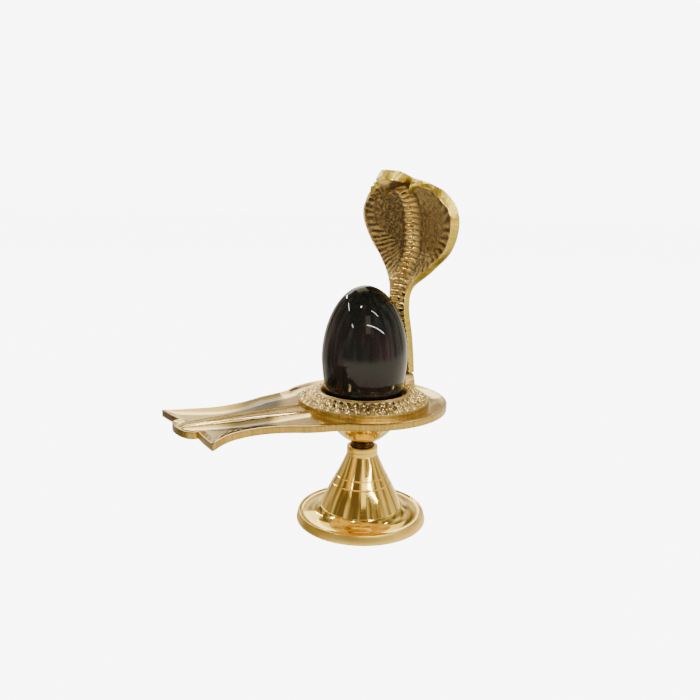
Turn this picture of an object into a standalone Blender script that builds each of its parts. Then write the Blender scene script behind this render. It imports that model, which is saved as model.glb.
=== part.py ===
# Brass altar stand with a seated black lingam stone and a cobra behind it.
# Units are metres, +Z is up, the spout points along -X and the cobra stands at +X.

import math

import bmesh
import bpy
from mathutils import Matrix, Vector

# Fits between separate pieces
SEAT_GAP = 0.0003
THREAD_CLEARANCE = 0.0004
SLOT_CLEARANCE = 0.0004

# How far forms cast in one piece run into each other
FUSE_DEPTH = 0.0004

# Pedestal foot, a hollow turned bell
FOOT_RIM_RADIUS = 0.0280
FOOT_BAND_HEIGHT = 0.0039
FOOT_BAND_BULGE = 0.0017
FOOT_SOLE_WIDTH = 0.0034
FOOT_WALL = 0.0024
FOOT_DISH_DEPTH = 0.0005
CONE_BASE_RADIUS = 0.0185
CONE_BASE_HEIGHT = 0.0069
CONE_SWELL = 0.0002
COLLAR_RADIUS = 0.0070
COLLAR_HEIGHT = 0.0040
FOOT_HEIGHT = 0.0353
GROOVE_DROPS = (0.0137, 0.0172)
GROOVE_DEPTH = 0.0003
GROOVE_HALF_WIDTH = 0.0003

# Threaded stud between the foot and the plate
STUD_RADIUS = 0.0052
STUD_THREAD_DEPTH = 0.0006
STUD_PITCH = 0.0018
STUD_SHOWN = 0.0028
STUD_IN_FOOT = 0.0090
STUD_IN_PLATE = 0.0024

# Turned cup under the plate
CUP_HEIGHT = 0.0157
CUP_FOOT_RADIUS = 0.0062
CUP_TOP_RADIUS = 0.0172

# Cast plate with its spout
DISC_RADIUS = 0.0372
PLATE_EDGE = 0.0030
PLATE_WEB = 0.0015
LIP_WIDTH = 0.0008
SPOUT_REACH = 0.0870
SPOUT_TIP_HALF_WIDTH = 0.0250
SPOUT_WAIST_HALF_WIDTH = 0.0175
SPOUT_CORNER_BACK = 0.0040
SPOUT_END_SKEW = 0.064
TONGUE_HALF_WIDTH = 0.0086
NOTCH_DEPTH = 0.0052
RIDGE_WIDTH = 0.0011
RIDGE_RISE_AT_RING = 0.0002
RIDGE_RISE = 0.0010
RIDGE_STOP = 0.0022
CHANNEL_HALF_WIDTH = 0.0046
CHANNEL_TIP_HALF_WIDTH = 0.0016

# Raised seat ring with a row of petals
RING_INNER_RADIUS = 0.0196
RING_OUTER_RADIUS = 0.0293
RING_EDGE_RISE = 0.0024
RING_CREST_RISE = 0.0061
SEAT_RADIUS = 0.0180
SEAT_RISE = 0.0020
PETAL_COUNT = 40
PETAL_RELIEF = 0.0008

# Lug that holds the cobra, set a little round from the spout's axis
LUG_TURN = math.radians(8.0)
LUG_HEIGHT = 0.0107
LUG_WIDTH = 0.0112
LUG_INSET = 0.0004
LUG_TOP_DEPTH = 0.0066
LUG_FOOT_DEPTH = 0.0085
LUG_CHAMFER = 0.0012
LUG_SIDE_LEAN = 0.0006
TANG_WIDTH = 0.0070
TANG_THICKNESS = 0.0020
TANG_LENGTH = 0.0050
TANG_FROM_LUG_FACE = 0.0041

# Cobra, its stem standing on the lug and its hood leaning over the stone
COBRA_SHOULDER_GAP = 0.0005
COBRA_HEIGHT = 0.0865
STEM_HALF_WIDTH = 0.0050
STEM_THICKNESS = 0.0034
STEM_FROM_LUG_FACE = 0.0030
HOOD_HALF_WIDTH = 0.0282
HOOD_THICKNESS = 0.0043
HOOD_HOLLOW = 0.0046
HEAD_HALF_WIDTH = 0.0069
COLUMN_HALF_WIDTH = 0.0054
COLUMN_RELIEF = 0.0024
SCUTE_COUNT = 34
SCUTE_RELIEF = 0.0005
JAW_DROP = 0.0030
SNOUT_SLANT = 0.0024

# Front face of the cobra: set-back from the stem's foot and height above it as shares of
# the cobra's height, then the half width
COBRA_STATIONS = (
    ("stem foot", 0.0, 0.0, STEM_HALF_WIDTH),
    ("stem", -0.0208, 0.1734, STEM_HALF_WIDTH),
    ("throat", -0.0543, 0.3584, STEM_HALF_WIDTH),
    ("neck", -0.0405, 0.4740, 0.24 * HOOD_HALF_WIDTH),
    ("flare", 0.0127, 0.5665, 0.54 * HOOD_HALF_WIDTH),
    ("lobe", 0.0428, 0.6601, 0.823 * HOOD_HALF_WIDTH),
    ("widest", 0.0324, 0.7977, HOOD_HALF_WIDTH),
    ("upper hood", 0.0127, 0.8879, 0.953 * HOOD_HALF_WIDTH),
    ("crown", -0.0231, 0.9410, 0.83 * HOOD_HALF_WIDTH),
    ("brow", -0.0462, 0.9607, 0.685 * HOOD_HALF_WIDTH),
    ("temple", -0.0566, 0.9672, 0.48 * HOOD_HALF_WIDTH),
    ("nape", -0.0671, 0.9723, 1.10 * HEAD_HALF_WIDTH),
    ("head", -0.1168, 0.9896, HEAD_HALF_WIDTH),
    ("muzzle", -0.1642, 0.9977, 0.87 * HEAD_HALF_WIDTH),
    ("snout", -0.1919, 1.0000, 0.30 * HEAD_HALF_WIDTH),
)

# Lingam stone
STONE_HEIGHT = 0.0504
STONE_RADIUS = 0.0191
STONE_FOOT_FILLET = 0.0018

# Number of flats round the turned pieces
FOOT_SEGMENTS = 36
CUP_SEGMENTS = 30
STUD_SEGMENTS = 14
STONE_SEGMENTS = 32
PETAL_STEPS = 3

# Heights of the stack, all worked out from the sizes above
CUP_Z = FOOT_HEIGHT + STUD_SHOWN
PLATE_Z = CUP_Z + CUP_HEIGHT + SEAT_GAP
FLOOR_Z = PLATE_Z + PLATE_WEB
STONE_Z = FLOOR_Z + SEAT_RISE + SEAT_GAP
LUG_TOP_Z = FLOOR_Z + LUG_HEIGHT
COBRA_Z = LUG_TOP_Z + COBRA_SHOULDER_GAP
LUG_FACE = RING_INNER_RADIUS + LUG_INSET
AXIS_X = (SPOUT_REACH - DISC_RADIUS) / 2.0


def clear_scene():
    for obj in list(bpy.data.objects):
        bpy.data.objects.remove(obj, do_unlink=True)


def metal(name, colour, roughness):
    material = bpy.data.materials.new(name)
    material.use_nodes = True
    shader = material.node_tree.nodes["Principled BSDF"]
    shader.inputs["Base Color"].default_value = (*colour, 1.0)
    shader.inputs["Metallic"].default_value = 1.0
    shader.inputs["Roughness"].default_value = roughness
    return material


def stone(name, colour, roughness):
    material = metal(name, colour, roughness)
    shader = material.node_tree.nodes["Principled BSDF"]
    shader.inputs["Metallic"].default_value = 0.0
    return material


def link_mesh(name, bm, material, parent, location, turn=0.0, smooth=True):
    bmesh.ops.recalc_face_normals(bm, faces=bm.faces)
    mesh = bpy.data.meshes.new(name)
    bm.to_mesh(mesh)
    bm.free()
    if smooth:
        mesh.shade_smooth()
        mesh.set_sharp_from_angle(angle=math.radians(35.0))
    if material is not None:
        mesh.materials.append(material)
    obj = bpy.data.objects.new(name, mesh)
    bpy.context.collection.objects.link(obj)
    obj.parent = parent
    obj.location = location
    obj.rotation_euler = (0.0, 0.0, turn)
    return obj


def as_helper(obj):
    obj.hide_render = True
    obj.display_type = "WIRE"


def combine(obj, other, operation):
    modifier = obj.modifiers.new(operation.lower(), "BOOLEAN")
    modifier.operation = operation
    modifier.solver = "EXACT"
    modifier.object = other
    as_helper(other)


def smooth_steps(stations, count):
    # Catmull-Rom curve through the stations, with count steps between each pair
    rows = []
    last = len(stations) - 1
    for index in range(last):
        before = stations[max(index - 1, 0)]
        here = stations[index]
        there = stations[index + 1]
        after = stations[min(index + 2, last)]
        for step in range(count):
            t = step / count
            row = []
            for a, b, c, d in zip(before, here, there, after):
                curve = 2.0 * b + (c - a) * t
                curve += (2.0 * a - 5.0 * b + 4.0 * c - d) * t ** 2
                curve += (3.0 * b - a - 3.0 * c + d) * t ** 3
                row.append(0.5 * curve)
            rows.append(tuple(row))
    rows.append(tuple(stations[last]))
    return rows


def blend(value, low, high):
    # Smooth 0 to 1 ramp as the value passes from low to high
    t = min(max((value - low) / (high - low), 0.0), 1.0)
    return t * t * (3.0 - 2.0 * t)


def turned(profile, segments):
    # Spins a closed half-section about Z, points on the axis become one vertex each
    bm = bmesh.new()
    rings = []
    for radius, height in profile:
        if radius < 1e-6:
            rings.append([bm.verts.new((0.0, 0.0, height))] * segments)
            continue
        ring = []
        for index in range(segments):
            angle = 2.0 * math.pi * index / segments
            ring.append(bm.verts.new((radius * math.cos(angle), radius * math.sin(angle), height)))
        rings.append(ring)
    for low, high in zip(rings, rings[1:] + rings[:1]):
        for index in range(segments):
            after = (index + 1) % segments
            corners = []
            for vertex in (low[index], low[after], high[after], high[index]):
                if vertex not in corners:
                    corners.append(vertex)
            if len(corners) > 2:
                bm.faces.new(corners)
    return bm


# Pedestal foot


def cone_radius(height):
    top = FOOT_HEIGHT - COLLAR_HEIGHT
    share = (height - CONE_BASE_HEIGHT) / (top - CONE_BASE_HEIGHT)
    swell = CONE_SWELL * math.sin(2.0 * math.pi * share)
    return CONE_BASE_RADIUS + (COLLAR_RADIUS - CONE_BASE_RADIUS) * share + swell


def foot_profile():
    sole = FOOT_RIM_RADIUS + 0.5 * FOOT_BAND_BULGE
    band = FOOT_BAND_HEIGHT
    widest = FOOT_RIM_RADIUS + FOOT_BAND_BULGE
    dish = band - FOOT_DISH_DEPTH
    dish_run = FOOT_RIM_RADIUS - CONE_BASE_RADIUS
    dish_rise = CONE_BASE_HEIGHT - dish
    outer = [
        (sole, 0.0),
        (widest - 0.1 * FOOT_BAND_BULGE, 0.22 * band),
        (widest, 0.48 * band),
        (widest - 0.25 * FOOT_BAND_BULGE, 0.75 * band),
        (FOOT_RIM_RADIUS, band),
        (FOOT_RIM_RADIUS - 0.08 * dish_run, dish),
    ]
    for share in (0.4, 0.7, 0.93):
        outer.append((FOOT_RIM_RADIUS - share * dish_run, dish + dish_rise * share ** 3.2))
    outer.append((CONE_BASE_RADIUS, CONE_BASE_HEIGHT))

    cone_top = FOOT_HEIGHT - COLLAR_HEIGHT
    grooves = [FOOT_HEIGHT - drop for drop in GROOVE_DROPS]
    heights = [CONE_BASE_HEIGHT + share * (cone_top - CONE_BASE_HEIGHT) for share in (0.2, 0.8, 1.0)]
    marks = [(height, 0.0) for height in heights]
    for height in grooves:
        marks.append((height - GROOVE_HALF_WIDTH, 0.0))
        marks.append((height, GROOVE_DEPTH))
        marks.append((height + GROOVE_HALF_WIDTH, 0.0))
    for height, cut in sorted(marks):
        outer.append((cone_radius(height) - cut, height))

    bore = STUD_RADIUS + THREAD_CLEARANCE
    outer.append((COLLAR_RADIUS, FOOT_HEIGHT - 0.0003))
    outer.append((COLLAR_RADIUS - 0.0003, FOOT_HEIGHT))

    cavity_top = FOOT_HEIGHT - STUD_IN_FOOT - 2.0 * FOOT_WALL
    shoulder = cone_radius(cavity_top) - FOOT_WALL
    inner = [(bore, FOOT_HEIGHT), (bore, cavity_top + FOOT_WALL), (max(shoulder, bore + 0.0008), cavity_top)]
    for share in (0.55, 0.15):
        height = CONE_BASE_HEIGHT + share * (cavity_top - CONE_BASE_HEIGHT)
        inner.append((cone_radius(height) - FOOT_WALL, height))
    for share in (0.9, 0.55):
        height = dish + dish_rise * share ** 3.2 - 0.8 * FOOT_WALL
        inner.append((FOOT_RIM_RADIUS - share * dish_run - 0.3 * FOOT_WALL, height))
    inner.append((sole - FOOT_SOLE_WIDTH, dish - 0.8 * FOOT_WALL))
    inner.append((sole - FOOT_SOLE_WIDTH, 0.0))
    return outer + inner


def make_foot(material, parent):
    bm = turned(foot_profile(), FOOT_SEGMENTS)
    return link_mesh("pedestal_foot", bm, material, parent, (0.0, 0.0, 0.0))


# Threaded stud


def make_stud(material, parent):
    length = STUD_IN_FOOT + STUD_SHOWN + CUP_HEIGHT + SEAT_GAP + STUD_IN_PLATE
    core = STUD_RADIUS - STUD_THREAD_DEPTH
    profile = [(0.0, 0.0), (core, 0.0)]
    turns = int(length / STUD_PITCH)
    margin = 0.5 * (length - turns * STUD_PITCH)
    for index in range(turns):
        start = margin + index * STUD_PITCH
        profile.append((core, start))
        profile.append((STUD_RADIUS, start + 0.5 * STUD_PITCH))
    profile.append((core, length - margin))
    profile.append((0.0, length))
    cleaned = [profile[0]]
    for point in profile[1:]:
        if math.dist(point, cleaned[-1]) > 1e-5:
            cleaned.append(point)
    bm = turned(cleaned, STUD_SEGMENTS)
    seat = FOOT_HEIGHT - STUD_IN_FOOT
    return link_mesh("threaded_stud", bm, material, parent, (0.0, 0.0, seat))


# Turned cup


def make_cup(material, parent):
    bore = STUD_RADIUS + THREAD_CLEARANCE
    profile = [(bore, CUP_HEIGHT), (bore, 0.0), (CUP_FOOT_RADIUS, 0.0)]
    steps = 8
    for index in range(1, steps + 1):
        angle = 0.5 * math.pi * index / steps
        radius = CUP_FOOT_RADIUS + (CUP_TOP_RADIUS - CUP_FOOT_RADIUS) * math.sin(angle)
        profile.append((radius, CUP_HEIGHT * (1.0 - math.cos(angle)) * 0.94 + 0.06 * CUP_HEIGHT * index / steps))
    bm = turned(profile, CUP_SEGMENTS)
    return link_mesh("under_cup", bm, material, parent, (0.0, 0.0, CUP_Z))


# Plate outline and its inner guide line


def spout_stations():
    # Distance along the spout and half width there, from the disc to the corner point
    join = math.radians(49.5)
    start = DISC_RADIUS * math.cos(join)
    corner = SPOUT_REACH - SPOUT_CORNER_BACK
    shape = ((0.082, 1.52), (0.176, 1.446), (0.269, 1.354), (0.354, 1.217), (0.439, 1.103), (0.524, 1.034),
             (0.618, 1.0), (0.711, 1.023), (0.813, 1.12), (0.907, 1.251))
    stations = [(start, DISC_RADIUS * math.sin(join))]
    for share, width in shape:
        stations.append((start + (corner - start) * share, width * SPOUT_WAIST_HALF_WIDTH))
    stations.append((corner, SPOUT_TIP_HALF_WIDTH))
    return stations


def skewed(along, across):
    # The spout's end is filed a little askew
    return (along + SPOUT_END_SKEW * across * blend(along, 0.80 * SPOUT_REACH, 0.93 * SPOUT_REACH), across)


def plate_outline():
    # Half outline from the back of the disc to the tip of the tongue
    stations = spout_stations()
    join_angle = math.atan2(stations[0][1], stations[0][0])
    points = []
    arc_steps = 22
    for index in range(arc_steps):
        angle = math.pi - (math.pi - join_angle) * index / arc_steps
        points.append((DISC_RADIUS * math.cos(angle), DISC_RADIUS * math.sin(angle)))
    points.extend(smooth_steps(stations, 2))
    corner_along, corner_width = stations[-1]
    notch_along = SPOUT_REACH - NOTCH_DEPTH
    for share in (0.3, 0.75):
        along = corner_along + (notch_along - corner_along) * share ** 1.8
        points.append((along, corner_width + (TONGUE_HALF_WIDTH - corner_width) * share))
    tongue_steps = 6
    for index in range(tongue_steps + 1):
        angle = 0.5 * math.pi * (1.0 - index / tongue_steps)
        along = notch_along + NOTCH_DEPTH * math.cos(angle) ** 0.7
        points.append((along, TONGUE_HALF_WIDTH * math.sin(angle)))
    return points, [guide_point(along, across) for along, across in points]


def channel_half_width(along):
    share = (along - RING_OUTER_RADIUS) / (SPOUT_REACH - RING_OUTER_RADIUS)
    share = min(max(share, 0.0), 1.0)
    return CHANNEL_HALF_WIDTH + (CHANNEL_TIP_HALF_WIDTH - CHANNEL_HALF_WIDTH) * share


def guide_point(along, across):
    # The foot of the ring round the disc, and the foot of a channel ridge on the spout
    ring = RING_OUTER_RADIUS
    mouth = math.sqrt(ring ** 2 - CHANNEL_HALF_WIDTH ** 2)
    if along > mouth + RIDGE_WIDTH:
        reach = min(along, SPOUT_REACH - RIDGE_STOP)
        side = channel_half_width(reach) + 0.5 * RIDGE_WIDTH
        return (reach, side if across > 1e-6 else 0.0)
    angle = math.atan2(across, along)
    limit = math.atan2(CHANNEL_HALF_WIDTH + 0.5 * RIDGE_WIDTH, mouth)
    angle = max(angle, limit)
    return (ring * math.cos(angle), ring * math.sin(angle))


def mirrored_loop(half):
    # Closes a half outline by its mirror image, keeping the points on the centre line single
    loop = list(half)
    for along, across in reversed(half):
        if abs(across) > 1e-6:
            loop.append((along, -across))
    return [skewed(along, across) for along, across in loop]


def toward(point, target, distance):
    direction = Vector(target) - Vector(point)
    return tuple(Vector(point) + direction.normalized() * min(distance, 0.45 * direction.length))


def between(point, target, share):
    return tuple(Vector(point).lerp(Vector(target), share))


def make_plate_body():
    half, guides = plate_outline()
    outline = mirrored_loop(half)
    inner = mirrored_loop(guides)
    rows = [
        (outline, 0.0),
        (outline, PLATE_EDGE),
        ([toward(p, q, LIP_WIDTH) for p, q in zip(outline, inner)], PLATE_EDGE),
        ([between(p, q, 0.3) for p, q in zip(outline, inner)], PLATE_WEB + 0.4 * (PLATE_EDGE - PLATE_WEB)),
        ([between(p, q, 0.65) for p, q in zip(outline, inner)], PLATE_WEB),
    ]
    bm = bmesh.new()
    rings = []
    for loop, height in rows:
        rings.append([bm.verts.new((-along, across, height)) for along, across in loop])
    count = len(outline)
    for low, high in zip(rings, rings[1:]):
        for index in range(count):
            after = (index + 1) % count
            bm.faces.new((low[index], low[after], high[after], high[index]))
    bm.faces.new(rings[0])
    bm.faces.new(rings[-1])
    return bm


def make_ring_body():
    # Seat for the stone inside a sloping ring, raised into petals with round inner ends
    base = PLATE_WEB - FUSE_DEPTH
    edge = PLATE_WEB + RING_EDGE_RISE
    crest = PLATE_WEB + RING_CREST_RISE
    seat = PLATE_WEB + SEAT_RISE
    width = RING_OUTER_RADIUS - RING_INNER_RADIUS
    profile = [(SEAT_RADIUS, seat, 0.0), (RING_INNER_RADIUS, crest, 0.0)]
    for share, lift in ((0.14, 0.7), (0.45, 1.0), (0.9, 0.8)):
        profile.append((RING_INNER_RADIUS + share * width, crest + (edge - crest) * share, lift))
    profile.append((RING_OUTER_RADIUS, edge, 0.0))
    profile.append((RING_OUTER_RADIUS, base, 0.0))
    segments = PETAL_COUNT * PETAL_STEPS
    bm = bmesh.new()
    rings = []
    for radius, height, lift in profile:
        ring = []
        for index in range(segments):
            angle = 2.0 * math.pi * index / segments
            petal = abs(math.sin(0.5 * PETAL_COUNT * angle)) - 0.6
            z = height + PETAL_RELIEF * lift * petal
            ring.append(bm.verts.new((radius * math.cos(angle), radius * math.sin(angle), z)))
        rings.append(ring)
    for low, high in zip(rings, rings[1:]):
        for index in range(segments):
            after = (index + 1) % segments
            bm.faces.new((low[index], low[after], high[after], high[index]))
    bm.faces.new(rings[0])
    bm.faces.new(rings[-1])
    return bm


def prism(low, high):
    # Solid between two matching closed loops of points
    bm = bmesh.new()
    bottom = [bm.verts.new(point) for point in low]
    top = [bm.verts.new(point) for point in high]
    count = len(low)
    bm.faces.new(bottom)
    bm.faces.new(top)
    for index in range(count):
        after = (index + 1) % count
        bm.faces.new((bottom[index], bottom[after], top[after], top[index]))
    return bm


def make_ridge(side):
    # One thin raised ridge beside the channel, from the ring to the tongue
    start = RING_OUTER_RADIUS - 3.0 * FUSE_DEPTH
    middle = 0.65 * SPOUT_REACH
    end = SPOUT_REACH - RIDGE_STOP
    base = PLATE_WEB - FUSE_DEPTH
    low = []
    high = []
    for along, sign in ((start, -1.0), (middle, -1.0), (end, -1.0), (end, 1.0), (middle, 1.0), (start, 1.0)):
        across = channel_half_width(along) * side
        rise = RIDGE_RISE_AT_RING if along == start else RIDGE_RISE
        foot_along, foot_across = skewed(along, across + sign * 0.5 * RIDGE_WIDTH)
        top_along, top_across = skewed(along, across + sign * 0.3 * RIDGE_WIDTH)
        low.append((-foot_along, foot_across, base))
        high.append((-top_along, top_across, PLATE_EDGE + rise))
    return prism(low, high)


def make_lug():
    # Block on the ring, its outer face leaning in towards the top
    base = PLATE_WEB + 0.4 * RING_EDGE_RISE
    top = PLATE_WEB + LUG_HEIGHT
    inner = LUG_FACE
    outer = inner + LUG_FOOT_DEPTH
    half = 0.5 * LUG_WIDTH
    cut = LUG_CHAMFER
    low = [(inner, -half), (outer - cut, -half), (outer, cut - half),
           (outer, half - cut), (outer - cut, half), (inner, half)]
    lean = inner + LUG_TOP_DEPTH
    slim = half - LUG_SIDE_LEAN
    high = [(inner, -slim), (lean - cut, -slim), (lean, cut - slim),
            (lean, slim - cut), (lean - cut, slim), (inner, slim)]
    return prism([(x, y, base) for x, y in low], [(x, y, top) for x, y in high])


def tang_centre():
    # Radius at which the cobra's tang stands in the lug
    return LUG_FACE + TANG_FROM_LUG_FACE


def make_slot():
    # Pocket in the lug's top for the cobra's tang
    half_width = 0.5 * TANG_WIDTH + SLOT_CLEARANCE
    half_depth = 0.5 * TANG_THICKNESS + SLOT_CLEARANCE
    floor = PLATE_WEB + LUG_HEIGHT - TANG_LENGTH - SLOT_CLEARANCE
    roof = PLATE_WEB + LUG_HEIGHT + 0.002
    centre = tang_centre()
    corners = []
    for sx, sy in ((-1.0, -1.0), (1.0, -1.0), (1.0, 1.0), (-1.0, 1.0)):
        corners.append((centre + sx * half_depth, sy * half_width))
    return prism([(x, y, floor) for x, y in corners], [(x, y, roof) for x, y in corners])


def make_stud_hole():
    # Blind hole under the seat for the end of the stud
    bore = STUD_RADIUS + THREAD_CLEARANCE
    depth = STUD_IN_PLATE + SEAT_GAP
    return turned([(0.0, -0.001), (bore, -0.001), (bore, depth), (0.0, depth)], STUD_SEGMENTS)


def make_plate(material, parent):
    place = (0.0, 0.0, PLATE_Z)
    plate = link_mesh("yoni_plate", make_plate_body(), material, parent, place)
    ring = link_mesh("ring_form", make_ring_body(), None, parent, place)
    combine(plate, ring, "UNION")
    for side in (1.0, -1.0):
        ridge = link_mesh("ridge_form", make_ridge(side), None, parent, place, smooth=False)
        combine(plate, ridge, "UNION")
    lug = link_mesh("lug_form", make_lug(), None, parent, place, LUG_TURN, smooth=False)
    combine(plate, lug, "UNION")
    slot = link_mesh("slot_form", make_slot(), None, parent, place, LUG_TURN, smooth=False)
    combine(plate, slot, "DIFFERENCE")
    hole = link_mesh("hole_form", make_stud_hole(), None, parent, place, smooth=False)
    combine(plate, hole, "DIFFERENCE")
    return plate


# Cobra


def cobra_columns():
    # Positions across the body, close together over the belly column
    edge = COLUMN_HALF_WIDTH / HOOD_HALF_WIDTH
    half = (edge, 2.0 * edge, 0.5 + edge, 1.0)
    return [-side for side in reversed(half)] + [0.0] + list(half)


def cobra_relief(station, side, raised):
    # Height of the carving on the front face
    back, up, half = station
    hood = blend(half, STEM_HALF_WIDTH, 0.5 * HOOD_HALF_WIDTH)
    belly = max(0.0, 1.0 - (side * half / COLUMN_HALF_WIDTH) ** 2)
    relief = belly * COLUMN_RELIEF * hood
    back = -back / COBRA_HEIGHT
    head = blend(back, 0.052, 0.081) * blend(up / COBRA_HEIGHT, 0.925, 0.971)
    relief += belly * SCUTE_RELIEF * raised * (1.0 - head)
    muzzle = blend(back, 0.069, 0.116) * (1.0 - blend(back, 0.145, 0.197))
    relief += JAW_DROP * head * muzzle * (1.0 - side ** 2)
    return relief


def even_rows(stations, count):
    # Rows spaced evenly along the face, counting changes of width at a third
    spine = [(back * COBRA_HEIGHT, up * COBRA_HEIGHT, half) for _, back, up, half in stations]
    fine = smooth_steps(spine, 12)
    lengths = [0.0]
    for here, there in zip(fine, fine[1:]):
        step = math.dist(here[:2], there[:2]) + 0.35 * abs(here[2] - there[2])
        lengths.append(lengths[-1] + step)
    rows = []
    cursor = 0
    for index in range(count + 1):
        target = lengths[-1] * index / count
        while cursor < len(fine) - 2 and lengths[cursor + 1] < target:
            cursor += 1
        t = (target - lengths[cursor]) / (lengths[cursor + 1] - lengths[cursor])
        rows.append([a + (b - a) * t for a, b in zip(fine[cursor], fine[cursor + 1])])
    return rows


def cobra_skins():
    # Front and back faces of the body as rows of points from the stem's foot to the snout
    rows = even_rows(COBRA_STATIONS, 2 * SCUTE_COUNT)
    columns = cobra_columns()
    last = len(rows) - 1
    base = []
    for index, (back, up, half) in enumerate(rows):
        low = rows[max(index - 1, 0)]
        high = rows[min(index + 1, last)]
        along = Vector((high[0] - low[0], 0.0, high[1] - low[1])).normalized()
        front = Vector((-along.z, 0.0, along.x))
        hollow = HOOD_HOLLOW * max(0.0, half - 1.2 * STEM_HALF_WIDTH) / HOOD_HALF_WIDTH * 1.27
        base.append([Vector((back, side * half, up)) + front * hollow * abs(side) ** 2.4
                     for side in columns])
    front_rows = []
    back_rows = []
    for index, row in enumerate(base):
        low = base[max(index - 1, 0)]
        high = base[min(index + 1, last)]
        hood = blend(rows[index][1] / COBRA_HEIGHT, 0.578, 0.763)
        thick = STEM_THICKNESS + (HOOD_THICKNESS - STEM_THICKNESS) * hood
        front_row = []
        back_row = []
        slant = Vector((SNOUT_SLANT * blend(-rows[index][0] / COBRA_HEIGHT, 0.116, 0.173), 0.0, 0.0))
        for column, point in enumerate(row):
            across = row[min(column + 1, len(columns) - 1)] - row[max(column - 1, 0)]
            normal = across.cross(high[column] - low[column]).normalized()
            relief = cobra_relief(rows[index], columns[column], index % 2)
            front_row.append(point - normal * relief)
            back_row.append(point + normal * thick + slant)
        front_rows.append(front_row)
        back_rows.append(back_row)
    return front_rows, back_rows


def skin_mesh(front_rows, back_rows):
    bm = bmesh.new()
    front = [[bm.verts.new(point) for point in row] for row in front_rows]
    back = [[bm.verts.new(point) for point in row] for row in back_rows]
    last_row = len(front) - 1
    last_column = len(front[0]) - 1
    for index in range(last_row):
        for column in range(last_column):
            for skin in (front, back):
                bm.faces.new((skin[index][column], skin[index][column + 1],
                              skin[index + 1][column + 1], skin[index + 1][column]))
        for column in (0, last_column):
            bm.faces.new((front[index][column], front[index + 1][column],
                          back[index + 1][column], back[index][column]))
    for index in (0, last_row):
        for column in range(last_column):
            bm.faces.new((front[index][column], front[index][column + 1],
                          back[index][column + 1], back[index][column]))
    return bm


def make_cobra(material, parent):
    front_face = LUG_FACE + STEM_FROM_LUG_FACE
    place = Matrix.Rotation(LUG_TURN, 3, "Z") @ Vector((front_face, 0.0, 0.0))
    place.z = COBRA_Z
    front_rows, back_rows = cobra_skins()
    cobra = link_mesh("cobra", skin_mesh(front_rows, back_rows), material, parent, place, LUG_TURN)
    middle = tang_centre() - front_face
    corners = []
    for sx, sy in ((-1.0, -1.0), (1.0, -1.0), (1.0, 1.0), (-1.0, 1.0)):
        corners.append((middle + sx * 0.5 * TANG_THICKNESS, sy * 0.5 * TANG_WIDTH))
    foot = -(TANG_LENGTH + COBRA_SHOULDER_GAP)
    tang = prism([(x, y, foot) for x, y in corners], [(x, y, 0.001) for x, y in corners])
    tang_form = link_mesh("tang_form", tang, None, parent, place, LUG_TURN, smooth=False)
    combine(cobra, tang_form, "UNION")
    return cobra


# Lingam stone


def stone_radius(share):
    # Egg with its widest point above the foot, share runs from the foot to the top
    widest = 0.36
    if share > widest:
        t = (share - widest) / (1.0 - widest)
        return STONE_RADIUS * math.sqrt(max(0.0, 1.0 - t ** 1.94))
    t = (widest - share) / widest
    return STONE_RADIUS * (1.0 - 0.11 * t ** 1.35)


def make_stone(material, parent):
    profile = [(0.0, 0.0)]
    fillet = STONE_FOOT_FILLET
    fillet_steps = 2
    shoulder = stone_radius(fillet / STONE_HEIGHT)
    for index in range(fillet_steps + 1):
        angle = 0.5 * math.pi * index / fillet_steps
        radius = shoulder - fillet + fillet * math.sin(angle)
        profile.append((radius, fillet * (1.0 - math.cos(angle))))
    steps = 12
    for index in range(1, steps):
        angle = 0.5 * math.pi * index / steps
        start = fillet / STONE_HEIGHT
        share = start + (1.0 - start) * math.sin(angle)
        profile.append((stone_radius(share), share * STONE_HEIGHT))
    profile.append((0.0, STONE_HEIGHT))
    bm = turned(profile, STONE_SEGMENTS)
    return link_mesh("lingam_stone", bm, material, parent, (0.0, 0.0, STONE_Z))


def main():
    clear_scene()
    axis = bpy.data.objects.new("pedestal_axis", None)
    bpy.context.collection.objects.link(axis)
    axis.location = (AXIS_X, 0.0, 0.0)
    polished = metal("polished_brass", (0.78, 0.57, 0.24), 0.18)
    cast = metal("cast_brass", (0.72, 0.53, 0.24), 0.3)
    chased = metal("chased_brass", (0.66, 0.49, 0.22), 0.36)
    screw = metal("dark_screw", (0.23, 0.15, 0.08), 0.45)
    black = stone("black_stone", (0.018, 0.017, 0.015), 0.08)
    turned_brass = metal("turned_brass", (0.76, 0.55, 0.23), 0.2)
    make_foot(polished, axis)
    make_stud(screw, axis)
    make_cup(turned_brass, axis)
    make_plate(cast, axis)
    make_cobra(chased, axis)
    make_stone(black, axis)


main()
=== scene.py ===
import math

import bpy
import numpy as np
from mathutils import Matrix, Vector, noise


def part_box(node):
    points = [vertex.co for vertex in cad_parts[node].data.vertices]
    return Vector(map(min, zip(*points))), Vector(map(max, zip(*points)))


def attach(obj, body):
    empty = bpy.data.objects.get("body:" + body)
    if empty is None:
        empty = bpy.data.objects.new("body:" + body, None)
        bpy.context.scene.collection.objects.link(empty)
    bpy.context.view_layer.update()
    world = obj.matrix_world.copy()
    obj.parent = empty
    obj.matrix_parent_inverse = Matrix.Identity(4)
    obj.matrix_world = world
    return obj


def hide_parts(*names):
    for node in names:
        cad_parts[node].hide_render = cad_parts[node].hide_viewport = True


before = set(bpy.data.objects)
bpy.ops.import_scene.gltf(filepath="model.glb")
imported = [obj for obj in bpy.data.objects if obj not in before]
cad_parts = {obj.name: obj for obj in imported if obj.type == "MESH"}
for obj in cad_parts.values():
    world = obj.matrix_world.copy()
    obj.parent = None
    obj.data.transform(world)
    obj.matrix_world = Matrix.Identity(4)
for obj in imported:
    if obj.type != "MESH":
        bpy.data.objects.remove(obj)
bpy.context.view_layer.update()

MM = 0.001

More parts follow.
